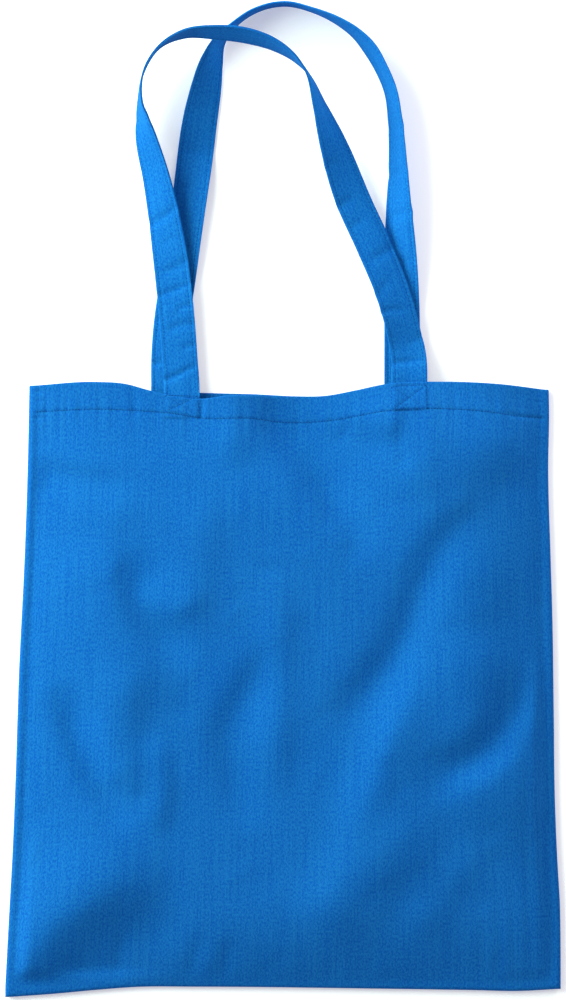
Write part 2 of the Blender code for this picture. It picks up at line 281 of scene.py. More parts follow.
# Route of a handle from its left end to its right one. Sideways in half spacings from the middle
# of the handle, upwards in rises above the mouth, the roll in degrees from flat, positive with
# the outer edge raised, and the gap in metres below the lower edge.
FRONT_ROUTE = (
    (-1.02, 0.07, -4, 0.0062), (-1.05, 0.20, -7, 0.0056), (-1.10, 0.35, -15, 0.0038),
    (-1.15, 0.46, -28, 0.0018), (-1.22, 0.58, -41, 0.0030), (-1.32, 0.71, -57, 0.0090),
    (-1.365, 0.80, -82, 0.0140), (-1.33, 0.89, -89, 0.0190), (-1.19, 0.96, -91, 0.0228),
    (-0.98, 0.995, -100, 0.0250), (-0.70, 1.0, -109, 0.0258), (-0.42, 0.99, -111, 0.0252),
    (-0.20, 0.967, -106, 0.0236), (-0.02, 0.93, -97, 0.0215), (0.09, 0.89, -88, 0.0195),
    (0.215, 0.79, -68, 0.0150), (0.347, 0.669, -38, 0.0100), (0.504, 0.525, -14, 0.0080),
    (0.680, 0.398, -12, 0.0086), (0.850, 0.260, -20, 0.0086), (0.942, 0.155, -20, 0.0070),
    (0.995, 0.07, -9, 0.0058),
)
BACK_ROUTE = (
    (-1.0, 0.06, -1, 0.0006), (-0.98, 0.15, -4, 0.0), (-0.92, 0.28, -9, 0.0),
    (-0.87, 0.39, -12, 0.0), (-0.80, 0.54, -10, 0.0), (-0.73, 0.70, 18, 0.0),
    (-0.68, 0.78, 34, 0.0), (-0.635, 0.845, 52, 0.0), (-0.57, 0.90, 72, 0.0),
    (-0.46, 0.94, 83, 0.0), (-0.28, 0.98, 86, 0.0), (0.0, 1.0, 87, 0.0), (0.24, 0.983, 87, 0.0),
    (0.42, 0.960, 83, 0.0), (0.62, 0.918, 76, 0.0), (0.72, 0.883, 71, 0.0), (0.82, 0.830, 72, 0.0),
    (0.89, 0.780, 72, 0.0), (0.945, 0.67, 68, 0.0), (0.965, 0.56, 60, 0.0), (0.972, 0.46, 47, 0.0),
    (0.985, 0.34, 28, 0.0), (0.995, 0.23, 12, 0.0), (1.0, 0.15, 4, 0.0), (1.0, 0.06, 1, 0.0006),
)

# Creases of the handles: line, depth in mm and half width in picture units.
FRONT_HANDLE_CREASES = (
    (((148, 225), (164, 218), (184, 200)), 1.4, 4.5), (((192, 257), (176, 268), (152, 275)), 1.1, 4.5),
    (((152, 298), (170, 292), (198, 280)), 1.3, 3.2), (((199, 323), (178, 326), (160, 336)), 1.2, 4),
    (((160, 382), (180, 374), (203, 361)), 1.6, 3.2), (((178, 234), (160, 246)), 0.8, 4),
    (((194, 303), (174, 311)), 0.9, 3), (((200, 343), (178, 350)), 0.9, 3),
    (((164, 312), (180, 308)), -0.5, 4), (((166, 240), (186, 228)), -0.5, 4),
    (((335, 209), (358, 196)), 1.2, 5), (((396, 245), (380, 256), (362, 264)), 1.3, 5),
    (((350, 228), (368, 219)), 0.9, 4), (((374, 300), (392, 276)), 1.0, 5),
    (((376, 314), (392, 310), (412, 311)), 1.2, 3.5), (((426, 335), (404, 346)), 0.9, 4),
    (((384, 364), (404, 362), (432, 358)), 1.6, 3.2), (((320, 132), (334, 117)), 0.8, 6),
    (((324, 170), (340, 159)), 0.8, 5), (((134, 124), (156, 110)), 0.7, 6),
)
BACK_HANDLE_CREASES = (
    (((146, 365), (168, 361)), 1.4, 3), (((380, 178), (412, 170)), 0.9, 5),
    (((416, 212), (400, 214), (384, 220)), 1.1, 5), (((170, 193), (208, 181)), 0.8, 6),
    (((184, 114), (218, 103)), 0.7, 7), (((388, 130), (412, 122)), 0.7, 6),
    (((164, 252), (196, 243)), 0.7, 6), (((396, 264), (420, 257)), 0.8, 5),
)

# A handle's crease rises over a share of its length, is partly there at its start, and falls.
HANDLE_CREASE_GAIN = 0.75
CREASE_RISE = 0.25
CREASE_HEAD = 0.3
CREASE_FALL = 0.45

# Mesh steps
FOLD_ROWS = 4
LOW_ROWS = 130
HIGH_ROWS = 38
BACK_LOW_STEP = 5
BACK_HIGH_STEP = 2
HIGH_SHARE = 0.925
TURN_ROWS = 6
HEM_ROWS = 16
SIDE_COLUMNS = 3
PANEL_COLUMNS = 150
COLUMN_CROWDING = 0.07
HANDLE_ROWS = 420
HANDLE_COLUMNS = 40
FOLD_PIECES = 6
CREASE_PIECES = 3
RASTER_TOP = 340
RASTER_SIZE = (672, 570)
FOLD_BLUR = 4

# Cotton. The weights are for warp, weft, specks, woven threads and clouds.
THREAD_PITCH = 0.00062
WARP_SCALE = (620.0, 16.0, 1.0)
WEFT_SCALE = (14.0, 420.0, 1.0)
SPECK_SCALE = (900.0, 540.0, 1.0)
CLOUD_SCALE = (16.0, 16.0, 1.0)
CLOUD_DETAIL = 3.0
SHADE_WEIGHTS = (0.95, 0.12, 2.7, 0.3, 0.4)
BUMP_WEIGHTS = (0.7, 0.1, 1.1, 0.5)

# Dark and light colour of each cotton's threads. The tapes' colours are lighter copies of the body's,
# and the back tape's is lighter still: painted light that lifts the shade on the handles.
BODY_BLUE = ((0.002, 0.077, 0.342), (0.008, 0.137, 0.405))
TAPE_LIT_BLUE = ((0.002, 0.084, 0.360), (0.008, 0.149, 0.428))
BACK_TAPE_LIT_BLUE = ((0.003, 0.100, 0.415), (0.010, 0.176, 0.492))
# The thread's blue is darker than the cloth's: painted shade of the sunk stitches.
THREAD_SHADE_BLUE = ((0.002, 0.040, 0.190), (0.005, 0.066, 0.240))

# Lamps: place, size, power and colour
KEY_LAMP = ((-1.30, 0.70, 0.79), 1.76, 71.0, (0.83, 1.0, 0.90))
FILL_LAMP = ((0.85, 0.85, 0.35), 0.6, 9.0, (1.0, 1.0, 1.0))
FLOOR_DROP = 0.0004

BODY_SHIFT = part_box("bag_body")[1][1] - BODY_HEIGHT


def smooth_step(value):
    """Rises softly from 0 to 1 as the value does."""
    value = np.clip(value, 0.0, 1.0)
    return value * value * (3 - 2 * value)


def shoulder(value):
    """Rises from 0 to 1 as the value does, steepest at the start."""
    return 1 - (1 - np.clip(value, 0.0, 1.0)) ** 2


def curve_through(stations, at):
    """The smooth curve through the stations, whose first number is the parameter."""
    table = np.array(stations, float)
    keys = table[:, 0]
    values = table[:, 1:]
    slopes = np.gradient(values, keys, axis=0)
    at = np.asarray(at, float)
    here = np.clip(np.searchsorted(keys, at) - 1, 0, len(keys) - 2)
    span = (keys[here + 1] - keys[here])[..., None]
    t = np.clip((at - keys[here])[..., None] / span, 0.0, 1.0)
    start = values[here] * (1 + 2 * t) * (1 - t) ** 2 + slopes[here] * span * t * (1 - t) ** 2
    end = values[here + 1] * t * t * (3 - 2 * t) - slopes[here + 1] * span * t * t * (1 - t)
    return start + end


def side_edges(height_share):
    """Where the left and the right edge of the body lie at a share of its height."""
    half = (BOTTOM_WIDTH + (MOUTH_WIDTH - BOTTOM_WIDTH) * height_share) / 2
    middle = LEAN_LEFT * height_share
    left = middle - half - curve_through(LEFT_BOW, height_share)[..., 0]
    right = middle + half + curve_through(RIGHT_BOW, height_share)[..., 0]
    return left, right


def softened(points, pieces):
    """A smooth line through the points, with some short pieces between each two of them."""
    points = np.array(points, float)
    steps = np.hypot(*np.diff(points, axis=0).T)
    along = np.concatenate([[0.0], np.cumsum(steps)])
    at = np.linspace(0.0, along[-1], pieces * (len(points) - 1) + 1)
    return curve_through(np.column_stack([along, points]), at)


def line_distance(px, py, line):
    """Distance from a line, the same with a sign, and how far along the line as a share.

    The sign is positive to the right of a line that runs down.
    """
    best = np.full(px.shape, np.inf)
    signed = np.zeros(px.shape)
    share = np.zeros(px.shape)
    count = len(line) - 1
    for number in range(count):
        start = line[number]
        run = line[number + 1] - start
        length = math.hypot(*run)
        forwards = (px - start[0]) * run[0] + (py - start[1]) * run[1]
        along = np.clip(forwards / length ** 2, 0.0, 1.0)
        away_x = px - start[0] - along * run[0]
        away_y = py - start[1] - along * run[1]
        away = np.hypot(away_x, away_y)
        nearer = away < best
        best = np.where(nearer, away, best)
        signed = np.where(nearer, (away_x * run[1] - away_y * run[0]) / length, signed)
        share = np.where(nearer, (number + along) / count, share)
    return best, signed, share


def stamp(raster, points, height, right_width, left_width):
    """Adds one fold to the raster, which tapers towards both of its ends."""
    line = softened(points, FOLD_PIECES)
    reach = FOLD_REACH * max(right_width, left_width)
    low = np.clip((line.min(axis=0) - reach - (0, RASTER_TOP)).astype(int), 0, None)
    high = (line.max(axis=0) + reach - (0, RASTER_TOP)).astype(int) + 1
    window = raster[low[1]:high[1], low[0]:high[0]]
    rows, columns = np.mgrid[:window.shape[0], :window.shape[1]]
    px = columns + float(low[0])
    py = rows + float(low[1]) + RASTER_TOP
    away, signed, share = line_distance(px, py, line)
    lean = signed / np.maximum(away, 1e-6)
    mean_width = (right_width + left_width) / 2
    own_width = np.where(lean > 0, right_width, left_width)
    width = own_width * np.abs(lean) + mean_width * (1 - np.abs(lean))
    start = smooth_step((share + TAPER_BEYOND) / FOLD_TAPER)
    end = smooth_step((1 + TAPER_BEYOND - share) / FOLD_TAPER)
    window += height * start * end * np.exp(-((away / width) ** 2))


def blurred(field, reach):
    """The field with each value spread over its neighbours, by a bell curve."""
    margin = 3 * reach
    steps = np.arange(-margin, margin + 1)
    weights = np.exp(-0.5 * (steps / reach) ** 2)
    weights /= weights.sum()
    for axis in (0, 1):
        padded = np.pad(field, margin, "edge")
        field = np.apply_along_axis(np.convolve, axis, padded, weights, "valid")
        keep = [slice(margin, -margin)] * 2
        keep[axis] = slice(None)
        field = field[tuple(keep)]
    return field


def crumple(raster):
    """Adds many small soft creases that lie as the cloth was last squeezed."""
    draw = np.random.RandomState(CRUMPLE_SEED)
    for _ in range(CRUMPLE_COUNT):
        x = draw.uniform(*CRUMPLE_X)
        y = draw.uniform(*CRUMPLE_Y)
        lean = draw.choice(CRUMPLE_LEANS) + draw.normal(0.0, CRUMPLE_LEAN_SPREAD)
        half = draw.uniform(*CRUMPLE_HALF_LENGTH)
        bend = draw.uniform(*CRUMPLE_BEND)
        height = draw.choice([-1, 1]) * draw.uniform(*CRUMPLE_HEIGHT)
        width = draw.uniform(*CRUMPLE_WIDTH)
        side = half * math.sin(lean)
        up = half * math.cos(lean)
        points = ((x - side, y - up), (x + bend, y), (x + side, y + up))
        stamp(raster, points, height, width, width * draw.uniform(*CRUMPLE_OTHER_SIDE))


def relief_raster():
    """The folds and creases worked out once, in mm, on a raster of the front panel."""
    folds = np.zeros(RASTER_SIZE)
    for fold in FOLDS:
        stamp(folds, *fold)
    folds = FOLD_GAIN * blurred(folds, FOLD_BLUR)
    for crease in CREASES:
        stamp(folds, *crease)
    crumple(folds)
    return folds


def fold_height(px, py):
    """What the folds add to the front panel, in metres, at places in picture units."""
    column = np.clip(px, 0, RASTER_SIZE[1] - 1.001)
    row = np.clip(py - RASTER_TOP, 0, RASTER_SIZE[0] - 1.001)
    left = column.astype(int)
    top = row.astype(int)
    u = column - left
    v = row - top
    upper = RELIEF[top, left] * (1 - u) + RELIEF[top, left + 1] * u
    lower = RELIEF[top + 1, left] * (1 - u) + RELIEF[top + 1, left + 1] * u
    return (upper * (1 - v) + lower * v) * MM


def uneven(at, length):
    """An uneven wave between about -1 and 1 that repeats at roughly the length."""
    turn = 2 * math.pi * at / length
    waves = [size * np.sin(pace * turn + start) for size, pace, start in UNEVEN_WAVES]
    return sum(waves) / UNEVEN_REACH


def hem_line(across):
    """Height above the bottom fold of the line that is sewn through the hem."""
    return BODY_HEIGHT - curve_through(HEM_LINE, across)[..., 0]


def hem_relief(x, y, across):
    """The hem stands proud of the cloth below, and its sewn line is pulled in and puckered."""
    above = y - hem_line(across)
    groove = -HEM_GROOVE * np.exp(-((above / HEM_GROOVE_WIDTH) ** 2))
    fade = np.exp(-np.abs(above) / HEM_PUCKER_REACH)
    pucker = HEM_PUCKER * uneven(x, HEM_PUCKER_LENGTH) * fade
    return HEM_PROUD * smooth_step(above / HEM_STEP + 0.5) + groove + pucker


def box_lines(corners):
    """The four sides and the two diagonals of a sewn box."""
    around = [(corners[number], corners[(number + 1) % 4]) for number in range(4)]
    return around + [(corners[0], corners[2]), (corners[1], corners[3])]


def strap_relief(px, py):
    """The ends of the front handle show through the hem, with the boxes sewn round them."""
    total = np.zeros(px.shape)
    for corners in SEWN_BOXES:
        corners = np.array(corners, float)
        low = corners.min(axis=0)
        high = corners.max(axis=0)
        inside = smooth_step((px - low[0] + STRAP_MARGIN) / STRAP_SIDE_FADE)
        inside *= smooth_step((high[0] - px + STRAP_MARGIN) / STRAP_SIDE_FADE)
        inside *= smooth_step((high[1] - py + STRAP_MARGIN) / STRAP_END_FADE)
        total += STRAP_PROUD * inside
        sunk = np.zeros(px.shape)
        for start, end in box_lines(corners):
            away = line_distance(px, py, np.array([start, end]))[0]
            sunk = np.maximum(sunk, np.exp(-((away / BOX_GROOVE_WIDTH) ** 2)))
        total -= BOX_GROOVE * sunk
    return total


def side_relief(y, from_left, from_right):
    """The seams inside the sides show as a narrow band with small puckers."""
    total = 0.0
    for distance, (depth, pucker, start) in zip((from_left, from_right), SIDE_SEAMS):
        total = total - depth * np.exp(-(((distance - SIDE_SEAM) / SIDE_SEAM_WIDTH) ** 2))
        total = total + SIDE_RIM * np.exp(-((distance / SIDE_RIM_WIDTH) ** 2))
        wave = np.clip(uneven(y + start, SIDE_PUCKER_LENGTH), 0.0, None)
        fade = np.exp(-distance / SIDE_PUCKER_REACH) * smooth_step(distance / SIDE_PUCKER_START)
        total = total - pucker * wave * fade
    return total


def in_units(x, y):
    """Picture units of a place on the body, from metres above the bottom fold."""
    return x / UNIT + UNIT_MIDDLE[0], UNIT_MIDDLE[1] - (y + BODY_SHIFT) / UNIT


def front_height(x, y):
    """Height of the front panel's outer face above what the bag lies on."""
    up = np.clip(y / BODY_HEIGHT, 0.0, 1.0)
    left, right = side_edges(up)
    clear_width = right - left - SIDE_THICKNESS
    across = np.clip((x - left - SIDE_RADIUS) / clear_width, 0.0, 1.0)
    from_side = np.minimum(across, 1 - across) * clear_width
    from_bottom = np.clip(y - SIDE_RADIUS, 0.0, None)
    px, py = in_units(x, y)
    swell = PUFF + (MOUTH_PUFF - PUFF) * smooth_step((up - FLATTER_FROM) / FLATTER_OVER)
    swell = swell * shoulder((from_side - SEAM_FLAT) / SHOULDER_WIDTH)
    swell = swell * shoulder(from_bottom / BOTTOM_SHOULDER)
    free = 1 - MOUTH_CALM * smooth_step((up - CALM_FROM) / CALM_OVER)
    free = free * smooth_step(from_side / FOLDS_FROM_SIDE)
    free = free * smooth_step(from_bottom / FOLDS_FROM_BOTTOM)
    detail = hem_relief(x, y, across) + strap_relief(px, py)
    detail = detail * smooth_step(from_side / DETAIL_FROM_SIDE)
    seams = side_relief(y, across * clear_width, (1 - across) * clear_width)
    seams = seams * smooth_step(from_bottom / SEAMS_FROM_BOTTOM)
    return SIDE_THICKNESS + swell + free * fold_height(px, py) + detail + seams


def mouth_height(front, across):
    """Where the top of the mouth lies, on the front or the back panel."""
    edge = FRONT_EDGE if front else BACK_EDGE
    return BODY_HEIGHT - curve_through(edge, across)[..., 0]


def panel_shares():
    """Shares of the height of the front panel's rows, close together at the hem."""
    low = np.linspace(0.0, HIGH_SHARE, LOW_ROWS + 1)
    high = np.linspace(HIGH_SHARE, 1.0, HIGH_ROWS + 1)
    return np.concatenate([low, high[1:]])


def cloth_rows():
    """Share of the height, extra height, inset and fullness of each row, from the bottom fold."""
    rows = []
    for angle in np.linspace(0.0, math.pi / 2, FOLD_ROWS, endpoint=False):
        rows.append((0.0, -SIDE_RADIUS * math.cos(angle), 0.0, math.sin(angle)))
    for share in panel_shares():
        rows.append((share, 0.0, 0.0, 1.0))
    for angle in np.linspace(0.0, math.pi, TURN_ROWS + 1)[1:]:
        rows.append((1.0, HEM_RADIUS * math.sin(angle), HEM_RADIUS * (1 - math.cos(angle)), 1.0))
    for step in np.linspace(0.0, 1.0, HEM_ROWS + 1)[1:]:
        rows.append((1.0, -(HEM_DEPTH - HEM_RADIUS) * step, HEM_STACK, 1.0))
    return np.array(rows)


def back_rows():
    """Which of the front's rows the plainer back panel has too."""
    join = FOLD_ROWS + LOW_ROWS
    low = list(range(FOLD_ROWS, join + 1, BACK_LOW_STEP))
    high = list(range(low[-1] + BACK_HIGH_STEP, join + HIGH_ROWS + 1, BACK_HIGH_STEP))
    rest = list(range(high[-1] + 1, len(cloth_rows())))
    return np.array(list(range(FOLD_ROWS)) + low + high + rest)


def cloth_columns(ratio):
    """The columns' angles round each side, and their shares of the clear width."""
    quarter = np.linspace(0.0, math.pi / 2, SIDE_COLUMNS, endpoint=False)
    even = np.linspace(0.0, 1.0, PANEL_COLUMNS + 1)
    crowded = even - COLUMN_CROWDING * np.sin(2 * math.pi * even)
    rest = np.full(len(even), math.pi / 2)
    angles = np.concatenate([quarter, rest, quarter[::-1]])
    shares = np.concatenate([np.zeros(SIDE_COLUMNS), crowded, np.ones(SIDE_COLUMNS)])
    count = len(angles) - 1
    whole = np.arange(count + 1)
    fine = np.linspace(0.0, count, ratio * count + 1)
    return np.interp(fine, whole, angles), np.interp(fine, whole, shares)


def panel_places(front, rows, ratio):
    """Where each point of some rows of the flat cloth lies once it is folded, sewn and hemmed."""
    rows = rows[:, :, None]
    angles, across = cloth_columns(ratio)
    share, extra, inset, fullness = rows[:, 0], rows[:, 1], rows[:, 2], rows[:, 3]
    low = SIDE_RADIUS - curve_through(BOTTOM_EDGE, across)[..., 0]
    high = mouth_height(front, across) - HEM_RADIUS
    y = low + share * (high - low) + extra
    left, right = side_edges(np.clip(y / BODY_HEIGHT, 0.0, 1.0))
    radius = SIDE_RADIUS - inset
    inwards = inset + radius * (1 - np.cos(angles))
    x = left + SIDE_RADIUS + across * (right - left - SIDE_THICKNESS)
    edge = SIDE_COLUMNS * ratio
    x[:, :edge] = (left + inwards)[:, :edge]
    x[:, -edge:] = (right - inwards)[:, -edge:]
    lift = radius * np.sin(angles)
    if front:
        flat = np.s_[:, edge:-edge]
        lift[flat] = (front_height(x, y) - SIDE_RADIUS - inset)[flat]
    else:
        above = y - hem_line(across)
        outside = (share > 0.5) * (inset == 0.0)
        groove = np.exp(-((above / BACK_HEM_GROOVE_WIDTH) ** 2))
        lift = lift - BACK_HEM_GROOVE * groove * outside
    z = SIDE_RADIUS + fullness * (lift if front else -lift)
    return np.stack([x, y + BODY_SHIFT, z], axis=-1)


def quads(numbers, flip=False):
    """The faces between neighbouring rows and columns of point numbers."""
    corners = [numbers[:-1, :-1], numbers[:-1, 1:], numbers[1:, 1:], numbers[1:, :-1]]
    if flip:
        corners = corners[::-1]
    return np.stack(corners, axis=-1).reshape(-1, 4).tolist()


def add_object(name, data):
    """A new object in the scene."""
    made = bpy.data.objects.new(name, data)
    bpy.context.scene.collection.objects.link(made)
    return made


def mesh_object(name, points, faces, cloth_place):
    """A mesh of its own with the points' places on the flat cloth kept for the weave."""
    mesh = bpy.data.meshes.new(name)
    mesh.from_pydata(points.tolist(), [], faces)
    attribute = mesh.attributes.new("weave", "FLOAT_VECTOR", "POINT")
    values = np.ascontiguousarray(cloth_place, dtype=np.float32).ravel()
    attribute.data.foreach_set("vector", values)
    mesh.shade_smooth()
    mesh.update()
    return add_object(name, mesh)


def apply_modifiers(piece):
    """Keeps the mesh that the piece's modifiers make."""
    graph = bpy.context.evaluated_depsgraph_get()
    made = bpy.data.meshes.new_from_object(piece.evaluated_get(graph), depsgraph=graph)
    old = piece.data
    piece.modifiers.clear()
    piece.data = made
    bpy.data.meshes.remove(old)


def run_lengths(places, axis):
    """How far along the cloth each point lies, down its rows or across its columns."""
    steps = np.linalg.norm(np.diff(places, axis=axis), axis=-1)
    start = np.zeros_like(np.take(steps, [0], axis=axis))
    return np.concatenate([start, np.cumsum(steps, axis=axis)], axis=axis)


def flat_places(places, across, start, side=1):
    """The places of some rows on the flat cloth, from a start along it."""
    along = start + side * run_lengths(places, 0).mean(axis=1, keepdims=True)
    across = np.broadcast_to(across, places.shape[:2])
    along = np.broadcast_to(along, places.shape[:2])
    return np.stack([across, along, np.zeros(places.shape[:2])], axis=-1)


def body_faces(low, high, back, match):
    """The faces between the points of the front's two parts and of the back."""
    faces = quads(low) + quads(high)
    for column in range(low.shape[1] - 1):
        upper = high[0, 2 * column:2 * column + 3]
        faces.append([low[-1, column], low[-1, column + 1], *upper[::-1]])
    sides = np.concatenate([low[:, [0, -1]], high[:, [0, -1]]])
    back[0] = low[0]
    back[:, 0] = sides[match, 0]
    back[:, -1] = sides[match, 1]
    faces += quads(back[:, 1:-1], flip=True)
    for row in range(len(match) - 1):
        between = sides[match[row] + 1:match[row + 1]]
        left = [back[row, 0], *between[:, 0], back[row + 1, 0]]
        faces.append([*left, back[row + 1, 1], back[row, 1]])
        right = [back[row + 1, -1], *between[::-1, 1], back[row, -1]]
        faces.append([back[row, -2], back[row + 1, -2], *right])
    return faces


def bag_body(material):
    """One cloth, folded at the bottom and sewn up both sides, with its mouth hemmed inwards."""
    rows = cloth_rows()
    join = FOLD_ROWS + LOW_ROWS
    match = back_rows()
    parts = [
        panel_places(True, rows[:join], 1), panel_places(True, rows[join:], 2),
        panel_places(False, rows[match], 1),
    ]
    numbers = []
    start = 0
    for part in parts:
        numbers.append(start + np.arange(part[..., 0].size).reshape(part.shape[:2]))
        start += part[..., 0].size
    faces = body_faces(*numbers, match)
    across = run_lengths(parts[0], 1).mean(axis=0)
    fine_across = np.interp(np.arange(2 * len(across) - 1) / 2, np.arange(len(across)), across)
    low_flat = flat_places(parts[0], across, 0.0)
    between = np.linalg.norm(parts[1][0, ::2] - parts[0][-1], axis=-1).mean()
    high_flat = flat_places(parts[1], fine_across, low_flat[-1, 0, 1] + between)
    flat = [low_flat, high_flat, flat_places(parts[2], across, 0.0, -1)]
    points = np.concatenate([part.reshape(-1, 3) for part in parts])
    flat = np.concatenate([part.reshape(-1, 3) for part in flat])
    used = sorted({int(number) for face in faces for number in face})
    renumber = {old: new for new, old in enumerate(used)}
    faces = [[renumber[int(number)] for number in face] for face in faces]
    piece = mesh_object("bag_cloth", points[used], faces, flat[used])
    piece.data.materials.append(material)
    solid = piece.modifiers.new("thickness", "SOLIDIFY")
    solid.thickness = CLOTH
    solid.offset = -1.0
    apply_modifiers(piece)
    return piece


def route_points(front, route, spacing, offset, rise):
    """The handle's stations with the distance run so far, x, y, roll and gap below."""
    middle = LEAN_LEFT + offset
    points = []
    for sideways, upwards, roll, gap in route:
        points.append([middle + sideways * spacing / 2, BODY_HEIGHT + upwards * rise, roll, gap])
    for end in (0, -1):
        x = middle + math.copysign(spacing / 2, points[end][0] - middle)
        left, right = side_edges(1.0)
        edge = float(mouth_height(front, (x - left) / (right - left)))
        tucked = [[x, edge, 0.0, points[end][3]], [x, edge - TUCKED_LENGTH, 0.0, points[end][3]]]
        points = tucked[::-1] + points if end == 0 else points + tucked
    distance = 0.0
    stations = [[0.0, *points[0]]]
    for before, after in zip(points, points[1:]):
        distance += math.dist(before[:2], after[:2])
        stations.append([distance, *after])
    return stations


def tucked_height(front, x, y):
    """Height of the middle of a handle's end, seated on the inside of the hem."""
    seat = HEM_STACK + TUCK_CLEARANCE + HANDLE_THICKNESS / 2
    return front_height(x, y) - seat if front else np.full(x.shape, seat)


def tape_middle(front, stations, share, distance):
    """The middle surface of a handle at shares of its half width and distances along it."""
    length = stations[-1][0]
    nudge = length / HANDLE_ROWS / 2
    x, y, roll, gap = np.moveaxis(curve_through(stations, distance), -1, 0)
    ahead = curve_through(stations, np.minimum(distance + nudge, length))
    behind = curve_through(stations, np.maximum(distance - nudge, 0.0))
    run = (ahead - behind)[..., :2]
    run /= np.linalg.norm(run, axis=-1, keepdims=True)
    roll = np.radians(roll)
    outwards = share * HALF_WIDTH * np.cos(roll)
    place_x = x - run[..., 1] * outwards
    place_y = y + run[..., 0] * outwards
    lowest = HALF_WIDTH * np.abs(np.sin(roll)) + HANDLE_THICKNESS / 2 * np.abs(np.cos(roll))
    free = REST_CLEARANCE + gap + lowest + share * HALF_WIDTH * np.sin(roll)
    left, right = side_edges(1.0)
    edge = mouth_height(front, (place_x - left) / (right - left))
    loose = smooth_step((place_y - edge - HEM_RADIUS) / LANDING_LENGTH)
    z = free * loose + tucked_height(front, place_x, np.minimum(place_y, edge)) * (1 - loose)
    return np.stack([place_x, place_y + BODY_SHIFT, z], axis=-1)


def grid_normals(places):
    """Unit normals of a grid of places."""
    down = np.gradient(places, axis=0)
    across = np.gradient(places, axis=1)
    normals = np.cross(across, down)
    return normals / np.linalg.norm(normals, axis=-1, keepdims=True)


def tape_surface(tape, share, distance):
    """The middle surface of a handle with its creases, and its unit normals."""
    front, stations, creases = tape
    middle = tape_middle(front, stations, share, distance)
    normals = grid_normals(middle)
    px, py = in_units(middle[..., 0], middle[..., 1] - BODY_SHIFT)
    lift = np.zeros(share.shape)
    for points, depth, width in creases:
        away, _, run = line_distance(px, py, softened(points, CREASE_PIECES))
        fade = smooth_step(run / CREASE_RISE + CREASE_HEAD) * smooth_step((1 - run) / CREASE_FALL)
        lift = lift - HANDLE_CREASE_GAIN * depth * MM * fade * np.exp(-((away / width) ** 2))
    from_end = np.minimum(distance, stations[-1][0] - distance) - TUCKED_LENGTH
    loose = smooth_step(from_end / LANDING_LENGTH)
    lift = lift + TAPE_CUP * uneven(distance, TAPE_CUP_LENGTH) * (1 - share ** 2) * loose
    return middle - normals * lift[..., None], normals


def tape_half(from_edge, open_edge):
    """Half of a tape's thickness at distances from one of its edges."""
    half = HANDLE_THICKNESS / 2
    lip = half / 2 if open_edge else half
    inwards = np.clip(from_edge / lip, 0.0, 1.0)
    rounded = (half - lip) + lip * np.sqrt(1 - (1 - inwards) ** 2)
    groove = SEAM_GROOVE * np.exp(-(((from_edge - EDGE_SEAM) / SEAM_GROOVE_WIDTH) ** 2))
    return rounded - groove


def handle(name, tape, material):
    """A tape folded from cloth with its open edge inside the loop, sewn along both edges."""
    length = tape[1][-1][0]
    shares = np.sin(np.linspace(-math.pi / 2, math.pi / 2, HANDLE_COLUMNS + 1))
    rows = np.linspace(0.0, length, HANDLE_ROWS + 1)
    share, distance = np.meshgrid(shares, rows)
    middle, normals = tape_surface(tape, share, distance)
    inner = tape_half((1 + shares) * HALF_WIDTH, True)
    outer = tape_half((1 - shares) * HALF_WIDTH, False)
    half = np.where(shares < 0, inner, outer)[None, :, None]
    inwards = OPEN_EDGE_DEPTH / HALF_WIDTH / (shares[2] - shares[0])
    notch = middle[:, :1] + (middle[:, 2:3] - middle[:, :1]) * inwards
    lower = (middle - normals * half)[:, -2::-1]
    ring = np.concatenate([notch, middle + normals * half, lower], axis=1)
    numbers = np.arange(ring[..., 0].size).reshape(ring.shape[:2])
    closed = np.concatenate([numbers, numbers[:, :1]], axis=1)
    faces = quads(closed)
    faces.append(numbers[0].tolist()[::-1])
    faces.append(numbers[-1].tolist())
    across = (shares + 1) * HALF_WIDTH
    across = np.concatenate([across[:1], across, -across[-2::-1] - WEAVE_GAP])
    across = np.broadcast_to(across, ring.shape[:2])
    along = np.broadcast_to(rows[:, None], ring.shape[:2])
    flat = np.stack([across, along, np.zeros(ring.shape[:2])], axis=-1)
    piece = mesh_object(name, ring.reshape(-1, 3), faces, flat.reshape(-1, 3))
    piece.data.materials.append(material)
    return piece


def tape_seams(tape):
    """The needle holes of the lines along both edges of a handle, on both of its faces."""
    length = tape[1][-1][0]
    rows = np.arange(TUCKED_LENGTH / 2, length - TUCKED_LENGTH / 2, STITCH_PITCH)
    runs = []
    for side in (-1, 1):
        share = side * (1 - EDGE_SEAM / HALF_WIDTH)
        grid = np.meshgrid(share + SEAM_SAMPLE * np.array([-1.0, 0.0, 1.0]), rows)
        middle, normals = tape_surface(tape, *grid)
        half = HANDLE_THICKNESS / 2 - SEAM_GROOVE
        for face in (-1, 1):
            up = face * normals[:, 1]
            runs.append((middle[:, 1] + up * half, up))
    return runs


def front_run(start, end, count):
    """Needle holes in the front panel between two places in picture units, and the way up there."""
    px = np.linspace(start[0], end[0], count + 1)
    py = np.linspace(start[1], end[1], count + 1)
    x = (px - UNIT_MIDDLE[0]) * UNIT
    y = (UNIT_MIDDLE[1] - py) * UNIT - BODY_SHIFT
    return front_holes(x, y)


def front_holes(x, y):
    """Needle holes on the front panel's outer face, and the way up there."""
    step = 0.0008
    slope_x = (front_height(x + step, y) - front_height(x - step, y)) / (2 * step)
    slope_y = (front_height(x, y + step) - front_height(x, y - step)) / (2 * step)
    up = np.stack([-slope_x, -slope_y, np.ones(x.shape)], axis=-1)
    up /= np.linalg.norm(up, axis=-1, keepdims=True)
    return np.stack([x, y + BODY_SHIFT, front_height(x, y)], axis=-1), up


def box_runs():
    """The sewn boxes with crosses that hold the front handle's ends."""
    runs = []
    for corners in SEWN_BOXES:
        for start, end in box_lines(corners):
            count = round(math.dist(start, end) * UNIT / STITCH_PITCH)
            runs.append(front_run(start, end, count))
    return runs


